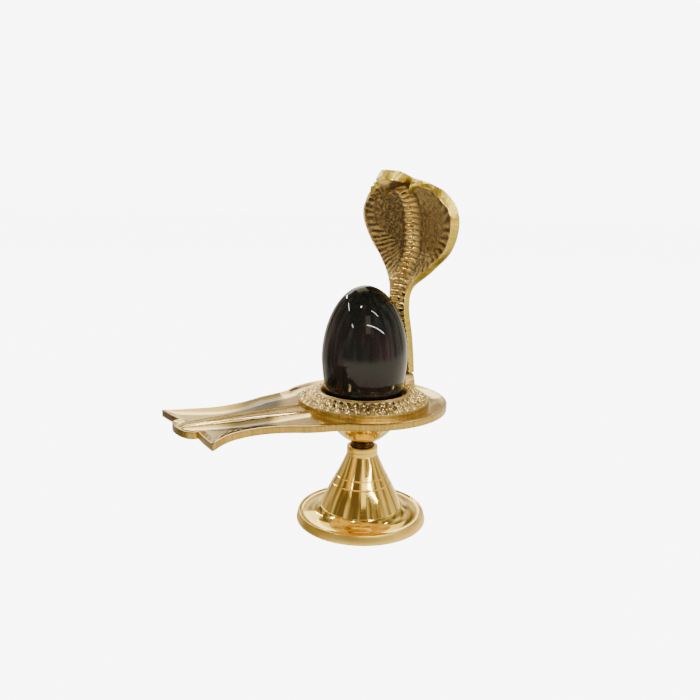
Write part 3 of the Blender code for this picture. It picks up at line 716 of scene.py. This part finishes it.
def make_dish(material):
    parts = half_outline()
    half = np.concatenate(parts)
    outline = bent(both_sides(half))
    foot_half, inner_half = guide_lines(*parts)
    foot = both_sides(foot_half)
    core = both_sides(inner_half)
    inward = inward_steps(outline)
    lip = outline + inward * LIP_WIDTH
    rim = ((0.25, 0.0), (0.07, 0.07), (0.0, 0.25), (0.0, 0.75), (0.0, 1.25), (0.0, 1.75), (0.0, 2.25),
           (0.0, 2.78), (0.06, 2.94), (0.2, 3.0), (0.62, 3.0))
    none = np.zeros(len(outline))
    # Painted brown shade on the rim walls that face the spout's end, stronger on the +Y side
    end_wall_shade = ramp(-inward[:, 0], 0.3, 0.8) * (0.15 + 0.45 * ramp(outline[:, 1], -7.0 * MM, 1.0 * MM))
    flats = [core, foot]
    heights = [none, none]
    marks = [none] * (len(rim) + 2)
    filed = [none, none]
    smoked = [none, none]
    for inset, height in rim:
        on_wall = float(inset < 0.1)
        flats.append(outline + inward * inset * MM)
        heights.append(none + height * MM)
        filed.append(none + on_wall)
        smoked.append(end_wall_shade * on_wall)

    top = [lip + (foot - lip) * share for share in np.linspace(0.0, 1.0, 30) ** 1.15]
    half_width = channel_half_width(foot[:, 0])
    span = half_width + RIDGE_FOOT - NEAR_MIDDLE
    for offset in np.linspace(RIDGE_FOOT, -RIDGE_FOOT, 13)[1:]:
        share = (half_width + offset - NEAR_MIDDLE) / span
        top.append(core + (foot - core) * share[:, None])
    low = (half_width - RIDGE_FOOT - NEAR_MIDDLE) / span
    for fade in np.linspace(1.0, 0.0, 11)[1:]:
        top.append(core + (foot - core) * (low * fade)[:, None])
    flat = np.concatenate(top)
    height, dark, smoke, worn = dish_height(flat, outline, len(parts[0]) + len(parts[1]))
    count = len(outline)
    flats.extend(top)
    heights.extend(height.reshape(-1, count))
    marks.extend(dark.reshape(-1, count))
    filed.extend(worn.reshape(-1, count))
    smoked.extend(smoke.reshape(-1, count))

    levels = []
    for plan, level in zip(flats, heights):
        plan = skewed(plan)
        levels.append(np.column_stack((AXIS.x - plan[:, 0], plan[:, 1], PLATE_LOW.z + level)))
    points, faces = loft(levels, closed_ends=False)
    # The open top and bottom are closed by strips across from one half of the loop to the other
    last = len(points) - count
    for index in range(len(half) - 1):
        corners = (index, index + 1, (count - index - 1) % count, (count - index) % count)
        corners = tuple(dict.fromkeys(corners))
        faces.append(tuple(last + corner for corner in corners))
        faces.append(corners[::-1])
    piece = make_piece("plate_dish", points, faces, material, sharp=40.0, cavity=np.concatenate(marks),
                       filed=np.concatenate(filed), smoke=np.concatenate(smoked))
    return stand_in(piece, "yoni_plate")


def make_ring(material):
    # Sloping ring chased with two rows of petals
    inner = RING_INNER
    width = RING_OUTER - RING_INNER
    floor = PLATE_LOW.z + PLATE_WEB
    across_petal = 22
    segments = PETALS * across_petal
    pitch = 2.0 * math.pi / PETALS
    angles = np.arange(segments) * 2.0 * math.pi / segments
    profile = [(SEAT_RADIUS - 6.0 * MM, floor + SEAT_RISE, 0.0), (SEAT_RADIUS, floor + SEAT_RISE, 0.0)]
    for share in (0.25, 0.6, 0.9):
        rise = SEAT_RISE + (RING_CREST_RISE - SEAT_RISE) * math.sin(0.5 * math.pi * share)
        profile.append((SEAT_RADIUS + (inner - SEAT_RADIUS) * share, floor + rise, 0.0))
    profile.append((inner, floor + RING_CREST_RISE, 0.0))
    profile.append((inner + 0.35 * MM, floor + RING_CREST_RISE + 0.05 * MM, 0.0))
    for share in np.linspace(0.06, 0.9, 46):
        height = RING_CREST_RISE + (RING_EDGE_RISE - RING_CREST_RISE) * share
        profile.append((inner + share * width, floor + height, 1.0))
    for offset, height in ((0.925, 0.1), (0.95, 0.22), (0.985, 0.2), (1.0, -0.05), (1.0, -0.8), (1.0, -1.6),
                           (1.003, -2.1), (1.012, -2.42), (1.012, -2.9)):
        profile.append((inner + offset * width, floor + RING_EDGE_RISE + height * MM, 0.0))
    radii, heights, weight = np.array(profile).T
    grid_r = radii[:, None] + 0.0 * angles[None, :]
    theta = angles[None, :] + 0.0 * radii[:, None]
    depth = grid_r - inner
    half = 0.5 * pitch * grid_r

    def lumps(shift, petal):
        centre, length = petal
        local = ((theta / pitch + shift) % 1.0 - 0.5) * pitch * grid_r
        reach = np.hypot(local / (PETAL_WIDTH * half), (depth - centre) / length)
        return np.sqrt(np.clip(1.0 - reach ** 2, 0.0, 1.0)), reach

    inner_lump, inner_reach = lumps(0.0, INNER_PETAL)
    outer_lump, _ = lumps(0.5, OUTER_PETAL)
    flat = np.stack((grid_r * np.cos(theta), grid_r * np.sin(theta)), axis=-1)
    base = np.concatenate((flat, np.zeros((*grid_r.shape, 1))), axis=-1)
    rough = noise_field(base, 1.5 * MM, 3.0) + 0.6 * noise_field(base, 0.7 * MM, 11.0)
    veins = np.cos(theta * PETALS * 5.0) * ramp(depth, 3.6 * MM, 5.0 * MM)
    whorl = np.cos(7.0 * inner_reach) * np.clip(1.0 - inner_reach, 0.0, 1.0)
    petals = np.maximum(0.95 * inner_lump + 0.22 * whorl, 0.8 * outer_lump + 0.12 * veins * outer_lump)
    relief = petals + 0.34 * rough
    weight = weight[:, None] * ramp(depth, SMOOTH_BAND, SMOOTH_BAND + 0.6 * MM)
    level = 0.6
    z = heights[:, None] + (relief - level) * MM * weight
    points = np.column_stack((AXIS.x + flat[:, :, 0].ravel(), flat[:, :, 1].ravel(), z.ravel()))
    _, faces = loft([np.zeros((segments, 3))] * len(profile))
    faces = [tuple(reversed(face)) for face in faces]
    # Painted shade between the petals, on the outer wall and on the smooth band beside the stone
    cavity = np.clip(0.5 - relief, 0.02, 0.6) * weight + 0.1 * (depth > 9.3 * MM)
    cavity = cavity + 0.12 * (1.0 - weight) * (depth < SMOOTH_BAND + 0.6 * MM)
    wall = 0.8 * (depth > 9.5 * MM) + 0.5 * (depth < SMOOTH_BAND + 0.3 * MM)
    piece = make_piece("seat_ring", points, faces, material, cavity=cavity, filed=wall, sharp=50.0)
    return stand_in(piece, "yoni_plate", replaces=False)


def rounded_box(x_low, x_high, half_y, corner, count=12):
    loop = []
    for cx, cy, start in ((x_high - corner, half_y - corner, 0.0), (x_low + corner, half_y - corner, 0.5),
                          (x_low + corner, corner - half_y, 1.0), (x_high - corner, corner - half_y, 1.5)):
        for step in range(count + 1):
            angle = math.pi * (start + 0.5 * step / count)
            loop.append((cx + corner * math.cos(angle), cy + corner * math.sin(angle)))
    return np.array(loop)


def place_round(points):
    # From the lug's own axes, x away from the pedestal's axis, to the frame
    points = np.asarray(points, float).reshape(-1, 3)
    turn = np.array(((math.cos(LUG_TURN), -math.sin(LUG_TURN)), (math.sin(LUG_TURN), math.cos(LUG_TURN))))
    flat = points[:, :2] @ turn.T
    return np.column_stack((flat[:, 0] + AXIS.x, flat[:, 1], points[:, 2]))


def tang_centre():
    return RING_INNER + LUG_INSET + TANG_FROM_LUG_FACE


def make_lug(material):
    floor = PLATE_LOW.z + PLATE_WEB
    base = floor + 0.3 * RING_EDGE_RISE
    top = floor + LUG_HEIGHT
    inner = RING_INNER + LUG_INSET
    levels = 26
    loops = []
    for share in np.linspace(0.0, 1.0, levels):
        round_in = 0.45 * MM * max(0.0, (share - 0.92) / 0.08) ** 2
        depth = LUG_FOOT_DEPTH + (LUG_TOP_DEPTH - LUG_FOOT_DEPTH) * share
        half = 0.5 * LUG_WIDTH - 0.6 * MM * share
        flat = rounded_box(inner + round_in, inner + depth - round_in, half - round_in, 1.3 * MM)
        loops.append(np.column_stack((flat, np.full(len(flat), base + (top - base) * share))))
    slot_half = 0.5 * TANG_THICKNESS + SLOT_CLEARANCE
    mouth = rounded_box(tang_centre() - slot_half, tang_centre() + slot_half,
                        0.5 * TANG_WIDTH + SLOT_CLEARANCE, 0.3 * MM)
    for height in (top, top - TANG_LENGTH - SLOT_CLEARANCE):
        loops.append(np.column_stack((mouth, np.full(len(mouth), height))))
    points, faces = loft(loops)
    rough = noise_field(points, 1.1 * MM, 5.0) + 0.5 * noise_field(points, 0.5 * MM, 9.0)
    walls = np.zeros(len(points))
    walls[:levels * len(mouth)] = 1.0
    centre = np.array((inner + 0.5 * LUG_TOP_DEPTH, 0.0))
    outward = points[:, :2] - centre
    outward /= np.maximum(np.linalg.norm(outward, axis=1), 1e-6)[:, None]
    points[:, :2] += outward * (0.1 * MM * (rough - 0.6) * walls)[:, None]
    # Painted shade in the low places of the rough walls, and deep inside the slot
    cavity = np.clip(0.2 - 0.7 * rough, 0.0, 0.7) * walls
    cavity[levels * len(mouth):] = 0.8
    piece = make_piece("cobra_lug", place_round(points), faces, material, cavity=cavity, sharp=50.0)
    return stand_in(piece, "yoni_plate", replaces=False)


# Cobra


def even_rows(count):
    fine = smooth_steps(COBRA_STATIONS, 24) * MM
    step = np.hypot(np.diff(fine[:, 0]), np.diff(fine[:, 1])) + 0.35 * np.abs(np.diff(fine[:, 2]))
    lengths = np.concatenate(((0.0,), np.cumsum(step)))
    targets = np.linspace(0.0, lengths[-1], count + 1)
    return np.column_stack([np.interp(targets, lengths, fine[:, column]) for column in range(3)])


def cobra_relief(rows, side, spine, base):
    # Height and darkness of the front's carving, rows down and columns across
    forward = -rows[:, :1]
    up = rows[:, 1:2]
    half = rows[:, 2:]
    side = side[None, :]
    across = side * half
    hood = ramp(half, STEM_HALF_WIDTH, 0.5 * HOOD_HALF_WIDTH)
    belly = np.clip(1.0 - (across / COLUMN_HALF_WIDTH) ** 2, 0.0, 1.0)
    head = ramp(forward, 4.5 * MM, 7.0 * MM) * ramp(up, HEAD_LEVEL, HEAD_LEVEL + 4.0 * MM)
    side_distance = np.abs(side)
    muzzle = window(forward, 6.0 * MM, 10.0 * MM, 12.5 * MM, 17.0 * MM)
    relief = belly * COLUMN_RELIEF * hood + JAW_DROP * head * muzzle * (1.0 - side ** 2)

    # Scutes down the belly, each drooping a little at its ends
    droop = 0.10 * across ** 2 / COLUMN_HALF_WIDTH
    phase = ((spine[:, None] + droop) / SCUTE_PITCH) % 1.0
    scute = np.clip(np.sin(math.pi * phase), 0.0, 1.0) ** 0.55
    column = ramp(belly, 0.02, 0.35)
    on_body = 1.0 - ramp(head, 0.1, 0.6)
    lump = 1.0 + 0.5 * noise_field(base, 2.2 * MM, 40.0)
    relief = relief + column * on_body * (scute * lump - 0.5) * SCUTE_RELIEF

    # Ribs fan out to the rim on both lobes, round a rough ground chased with fine wires
    lobe = hood * (1.0 - column) * on_body
    angle = np.arctan2(up - HOOD_CENTRE, np.maximum(np.abs(across), 0.5 * MM))
    low = ramp(HOOD_CENTRE - up, -6.0 * MM, 10.0 * MM)
    inward = np.where(side > 0.0, 0.76 - 0.44 * low, 0.72 - 0.08 * low)
    rib_band = window(side_distance, inward, inward + 0.12, 0.94, RIM_END)
    ribs = np.sin(angle * np.where(side > 0.0, 52.0, 40.0) + 2.2 * noise_field(base, 6.0 * MM, 30.0))
    ribs = ribs * (0.75 + 0.7 * noise_field(base, 2.4 * MM, 50.0))
    rough = 0.8 * noise_field(base, 0.95 * MM, 1.0) + 0.9 * noise_field(base, 0.5 * MM, 8.0)
    wires = np.sin(np.abs(across) / (0.36 * MM) + 7.0 * noise_field(base, 2.6 * MM, 20.0))
    texture = rib_band * 0.42 * ribs + (1.0 - rib_band) * 0.13 * wires
    texture = texture + np.where(side > 0.0, 0.32, 0.30 - 0.16 * (1.0 - low)) * rough
    rim = 1.0 - ramp(side_distance, RIM_START, RIM_END)
    relief = relief + lobe * rim * (texture - 0.15) * MM
    relief = relief + ((1.0 - lobe) * (1.0 - head) * 0.05 + head * 0.04) * rough * MM

    # Painted shade in the hollows, near the rim on the upper hood, down the column's flanks, on the head's
    # underside and beside its root
    shadow = np.where(side > 0.0, 0.70 + 0.14 * (1.0 - rib_band), 0.64)
    shadow = shadow + 0.2 * ramp(side_distance, 0.8, 0.95) * ramp(up, 62.0 * MM, 74.0 * MM)
    dark = lobe * rim * np.clip(shadow - 0.95 * texture, 0.05, 0.95)
    dark = dark + column * on_body * np.clip(0.8 - 1.1 * scute, 0.04, 0.85)
    flank = bell(np.abs(across) / COLUMN_HALF_WIDTH, 0.86, 0.2)
    dark = dark + 0.45 * hood * on_body * flank
    dark = dark + head * 0.85 * rim * (1.0 - ramp(forward, 13.6 * MM, 15.2 * MM))
    root = (up > HEAD_LEVEL) * window(forward, 3.2 * MM, 4.8 * MM, 9.0 * MM, 11.0 * MM)
    beside = ramp(np.abs(across), 3.6 * MM, COLUMN_HALF_WIDTH) * (1.0 - ramp(half, 10.0 * MM, 15.0 * MM))
    dark = dark + 0.9 * root * beside
    return relief, np.clip(dark, 0.0, 0.95)


def make_cobra(material):
    count = 430
    columns = 104
    rows = even_rows(count)
    back, up, half = rows.T
    side = np.linspace(-1.0, 1.0, columns + 1)
    along = np.zeros((count + 1, 3))
    along[1:-1, 0] = back[2:] - back[:-2]
    along[1:-1, 2] = up[2:] - up[:-2]
    along[0] = along[1]
    along[-1] = along[-2]
    along /= np.linalg.norm(along, axis=1)[:, None]
    front = np.column_stack((-along[:, 2], np.zeros(count + 1), along[:, 0]))

    # The lobes curl forward to the rim, and the left shoulder is drawn in
    hollow = HOOD_HOLLOW * np.maximum(0.0, half - 1.2 * STEM_HALF_WIDTH) / HOOD_HALF_WIDTH * 1.27
    curl = np.abs(side) ** 2.4
    drawn_in = 0.12 * ramp(up, 76.0 * MM, 82.5 * MM) * ramp(half, 7.6 * MM, 17.0 * MM)
    base = np.zeros((count + 1, columns + 1, 3))
    base[:, :, 0] = back[:, None]
    base[:, :, 1] = half[:, None] * side * (1.0 - drawn_in[:, None] * (side > 0.0))
    base[:, :, 2] = up[:, None]
    base += front[:, None, :] * (hollow[:, None] * curl)[:, :, None]

    normal = np.cross(np.gradient(base, axis=1), np.gradient(base, axis=0))
    normal /= np.maximum(np.linalg.norm(normal, axis=2), 1e-9)[:, :, None]
    spine = np.concatenate(((0.0,), np.cumsum(np.hypot(np.diff(back), np.diff(up)))))
    relief, dark = cobra_relief(rows, side, spine, base)
    front_points = base - normal * relief[:, :, None]
    lifted = 0.8 * hollow * ramp(-back, 2.6 * MM, 4.9 * MM) * ramp(up, 78.0 * MM, 82.0 * MM)
    front_points -= front[:, None, :] * (lifted[:, None] * curl)[:, :, None]

    thick = STEM_THICKNESS + (HOOD_THICKNESS - STEM_THICKNESS) * ramp(up, 50.0 * MM, 66.0 * MM)
    ridge = bell(base[:, :, 1], 0.0, 3.2 * MM) * BACK_RIDGE
    back_points = base + normal * thick[:, None, None] + normal * (ridge - BACK_RIDGE)[:, :, None]
    back_points[:, :, 0] += SNOUT_SLANT * ramp(-back, 10.0 * MM, 15.0 * MM)[:, None]

    # Each vertex is marked with its painted shade, how filed it is, and its painted brown shade
    snout = (back < -15.0 * MM).astype(float)
    # Painted brown shade and reflection on the edge strips, darker towards the bottom and in a band at 54 mm
    # on their back half
    brown = 0.34 * (1.0 - ramp(up, 44.0 * MM, 60.0 * MM))
    streak = 0.6 * bell(up, 54.0 * MM, 4.5 * MM)
    # Painted shadow under the head, on the front of the edge strip beside the head's root
    nook = bell(half, 8.2 * MM, 3.0 * MM) * (back > -8.6 * MM) * (back < -4.0 * MM) * (up > HEAD_LEVEL)
    edge_steps = 7
    back_columns = range(columns, -1, -2)
    loops = []
    marks = []
    for row in range(count + 1):
        loop = list(front_points[row])
        mark = [(value, snout[row], 0.0) for value in dark[row]]
        for end, order in ((columns, 1), (0, -1)):
            out = base[row, end] - base[row, end - order]
            out = out / max(np.linalg.norm(out), 1e-9)
            first = front_points[row, end]
            last = back_points[row, end]
            if order < 0:
                first, last = last, first
            for step_index in range(1, edge_steps):
                t = step_index / edge_steps
                crown = EDGE_CROWN * math.sin(math.pi * t) ** 0.6
                loop.append(first + (last - first) * t + out * crown)
                from_front = t if order > 0 else 1.0 - t
                deep = 0.95 * nook[row] * (1.0 - from_front) ** 0.6
                mark.append((deep, 1.0, brown[row] + streak[row] * (from_front > 0.4)))
            if order > 0:
                loop.extend(back_points[row, column] for column in back_columns)
                mark.extend((0.1, 0.5, 0.0) for _ in back_columns)
        loops.append(np.array(loop))
        marks.append(mark)

    # The stem stands flat on its shoulder and narrows to the tang in the lug's slot
    shoulder = loops[0]
    shoulder[:, 2] = 0.0
    front_face = RING_INNER + LUG_INSET + STEM_FROM_LUG_FACE
    tang_scale = np.array((TANG_THICKNESS / STEM_THICKNESS, TANG_WIDTH / (2.0 * STEM_HALF_WIDTH)))
    stem_middle = np.array((0.5 * STEM_THICKNESS, 0.0))
    tang_middle = np.array((tang_centre() - front_face, 0.0))
    neck = shoulder.copy()
    neck[:, :2] = tang_middle + (shoulder[:, :2] - stem_middle) * tang_scale
    foot = neck.copy()
    foot[:, 2] = -(TANG_LENGTH + SHOULDER_GAP)
    loops = [foot, neck] + loops
    marks = [[(0.5, 0.0, 0.0)] * len(foot), [(0.6, 0.0, 0.0)] * len(foot)] + marks
    cavity, filed, smoke = np.array(marks).reshape(-1, 3).T

    points, faces = loft(loops)
    cobra_z = PLATE_LOW.z + PLATE_WEB + LUG_HEIGHT + SHOULDER_GAP
    points = points + np.array((front_face, 0.0, cobra_z))
    piece = make_piece("cobra_figure", place_round(points), faces, material, sharp=60.0, cavity=cavity,
                       filed=filed, smoke=smoke)
    return stand_in(piece, "cobra")


# Stone


def make_stone(material):
    low = STONE_LOW.z
    height = STONE_HIGH.z - STONE_LOW.z
    widest = 0.36
    full = 19.1 * MM

    def radius_at(share):
        if share > widest:
            return full * math.sqrt(max(0.0, 1.0 - ((share - widest) / (1.0 - widest)) ** 1.94))
        return full * (1.0 - 0.11 * ((widest - share) / widest) ** 1.35)

    fillet = 1.8 * MM
    shoulder = radius_at(fillet / height)
    profile = [(0.0, low)]
    for angle in np.linspace(0.0, 0.5 * math.pi, 10):
        profile.append((shoulder - fillet + fillet * math.sin(angle), low + fillet * (1.0 - math.cos(angle))))
    start = fillet / height
    for angle in np.linspace(0.0, 0.5 * math.pi, 90)[1:-1]:
        share = start + (1.0 - start) * math.sin(angle)
        profile.append((radius_at(share), low + share * height))
    profile.append((0.0, STONE_HIGH.z))
    points, faces = turned(profile, 160, AXIS)
    piece = make_piece("stone_egg", points, faces, material, sharp=180.0)
    return stand_in(piece, "lingam_stone")


# Studio


def placed(x_axis, y_axis, z_axis, centre):
    matrix = Matrix.Identity(4)
    for column, vector in enumerate((x_axis, y_axis, z_axis, centre)):
        for row in range(3):
            matrix[row][column] = vector[row]
    return matrix


def from_angles(azimuth, elevation):
    # Direction given by degrees round the vertical and degrees above the horizon
    a = math.radians(azimuth)
    e = math.radians(elevation)
    return Vector((math.cos(e) * math.cos(a), math.cos(e) * math.sin(a), math.sin(e)))


def make_camera():
    data = bpy.data.cameras.new("camera")
    data.sensor_width = SENSOR_MM
    data.sensor_height = SENSOR_MM
    data.sensor_fit = "HORIZONTAL"
    data.lens = CAMERA_FOCAL_PX / IMAGE_PX * SENSOR_MM
    data.clip_start = 0.01
    camera = bpy.data.objects.new("camera", data)
    bpy.context.scene.collection.objects.link(camera)
    level = math.cos(CAMERA_PITCH)
    forward = Vector((math.sin(CAMERA_YAW) * level, math.cos(CAMERA_YAW) * level, -math.sin(CAMERA_PITCH)))
    right = Vector((math.cos(CAMERA_YAW), -math.sin(CAMERA_YAW), 0.0))
    up = right.cross(forward)
    image_right = right * math.cos(CAMERA_ROLL) + up * math.sin(CAMERA_ROLL)
    image_up = up * math.cos(CAMERA_ROLL) - right * math.sin(CAMERA_ROLL)
    local = placed(image_right, image_up, -forward, Vector((0.0, -CAMERA_DISTANCE, CAMERA_HEIGHT)))
    camera.matrix_world = Matrix.Translation(AXIS) @ Matrix.Rotation(CAMERA_TURN, 4, "Z") @ local
    bpy.context.scene.camera = camera


def stage_piece(name, points, faces, material):
    piece = new_object(name, points, faces, material)
    piece.visible_glossy = False
    return piece


def make_surround():
    # Pale floor and a pale backdrop all round, which the polished metal doesn't mirror
    size = 4.0
    radius = 3.6
    stage_piece("floor", [(-size, -size, 0.0), (size, -size, 0.0), (size, size, 0.0), (-size, size, 0.0)],
                [(0, 1, 2, 3)], studio_pale("floor_pale", 0.5, 7.6))
    arc = [(radius * math.cos(a), radius * math.sin(a)) for a in np.linspace(-1.4, 1.4, 24)]
    points, faces = turned([(0.0, -radius)] + arc + [(0.0, radius)], 48, Vector((0.0, 0.0, 0.0)))
    backdrop = stage_piece("backdrop", points, faces, studio_pale("backdrop_pale", 0.0, 8.0))
    backdrop.visible_diffuse = False
    backdrop.visible_shadow = False


def new_light(name, size, power, colour=(1.0, 1.0, 1.0)):
    data = bpy.data.lights.new(name, "AREA")
    data.shape = "RECTANGLE"
    data.size, data.size_y = size
    data.energy = power
    data.color = colour
    light = bpy.data.objects.new(name, data)
    bpy.context.scene.collection.objects.link(light)
    return light


def area_light(name, azimuth, elevation, distance, size, power, colour):
    light = new_light(name, size, power, colour)
    direction = from_angles(azimuth, elevation)
    light.location = AXIS + Vector((0.0, 0.0, LIGHTS_AIM)) + direction * distance
    light.rotation_euler = (-direction).to_track_quat("-Z", "Y").to_euler()


def strip_light(name, start, end, width, radiance):
    # Thin tube light from one azimuth and elevation to another, a metre from the stone
    first = from_angles(*start)
    last = from_angles(*end)
    along = last - first
    middle = (first + last) * 0.5
    x_axis = along.normalized()
    y_axis = middle.normalized().cross(x_axis).normalized()
    light = new_light(name, (along.length, width), radiance * math.pi * along.length * width)
    light.matrix_world = placed(x_axis, y_axis, x_axis.cross(y_axis),
                                AXIS + Vector((0.0, 0.0, STRIPS_AIM)) + middle)


def make_world():
    # Dim warm room with tall soft patches, brighter behind and to the right
    world = bpy.data.worlds.new("studio")
    bpy.context.scene.world = world
    nodes = Nodes(world, "Background")
    toward = nodes.place("Generated")
    patches = nodes.noise(4.6, 2.5, (1.0, 1.0, 0.3), space="Generated")
    brightness = nodes.math("ADD", patches, nodes.dot(toward, (0.09, 0.04, -0.14)))
    room = nodes.ramp(brightness, ((0.37, (0.13, 0.10, 0.07)), (0.46, (0.34, 0.28, 0.19)),
                                   (0.54, (0.60, 0.53, 0.41)), (0.64, (1.0, 0.94, 0.80))))
    # Directions near and under the horizon are pale, all but those the spout's end walls mirror
    share = 1.0
    for direction, low, high in (((0.0, 0.0, -1.0), 0.08, 0.2), ((0.54, -0.84, 0.0), -0.66, -0.4),
                                 ((0.0, 0.0, 1.0), -0.62, -0.36)):
        inputs = {"Value": nodes.dot(toward, direction), "From Min": low, "From Max": high}
        limits = nodes.add("ShaderNodeMapRange", inputs, interpolation_type="SMOOTHSTEP")
        share = nodes.math("MULTIPLY", share, limits.outputs["Result"])
    nodes.set("Color", nodes.mix(share, room, (1.5, 1.32, 1.0)))
    nodes.set("Strength", 1.35)


def make_studio():
    make_camera()
    make_surround()
    make_world()
    area_light("key", -150.0, 60.0, 1.0, (0.045, 0.06), 1.3, (1.0, 0.97, 0.92))
    area_light("fill", -113.0, 34.0, 1.2, (0.3, 0.5), 0.85, (1.0, 0.86, 0.55))
    area_light("crown", 57.0, 52.0, 1.2, (0.9, 0.7), 3.6, (1.0, 0.90, 0.50))
    area_light("back", 70.0, 30.0, 1.3, (0.9, 0.35), 3.0, (1.0, 0.98, 0.94))
    for strip in STRIPS:
        strip_light(*strip)


def main():
    make_studio()
    make_foot(polished_brass("polished_brass", (0.96, 0.70, 0.17), (0.88, 0.58, 0.11)))
    make_cup(polished_brass("turned_brass", (0.97, 0.76, 0.24), (0.92, 0.68, 0.18), (0.12, 0.2)))
    make_stud(screw_steel("dark_screw"))
    # For cast brass the third colour is the painted shade, the fourth the filed edges
    plate = cast_brass("cast_brass", (0.90, 0.69, 0.30), (0.80, 0.57, 0.20), (0.10, 0.06, 0.02),
                       (0.60, 0.41, 0.09), (1300.0, 1300.0, 60.0))
    make_dish(plate)
    make_ring(plate)
    make_lug(plate)
    make_cobra(cast_brass("chased_brass", (0.92, 0.68, 0.25), (0.80, 0.54, 0.17), (0.08, 0.053, 0.032),
                          (0.97, 0.73, 0.10), (90.0, 1300.0, 1300.0)))
    make_stone(black_stone("black_stone"))


main()
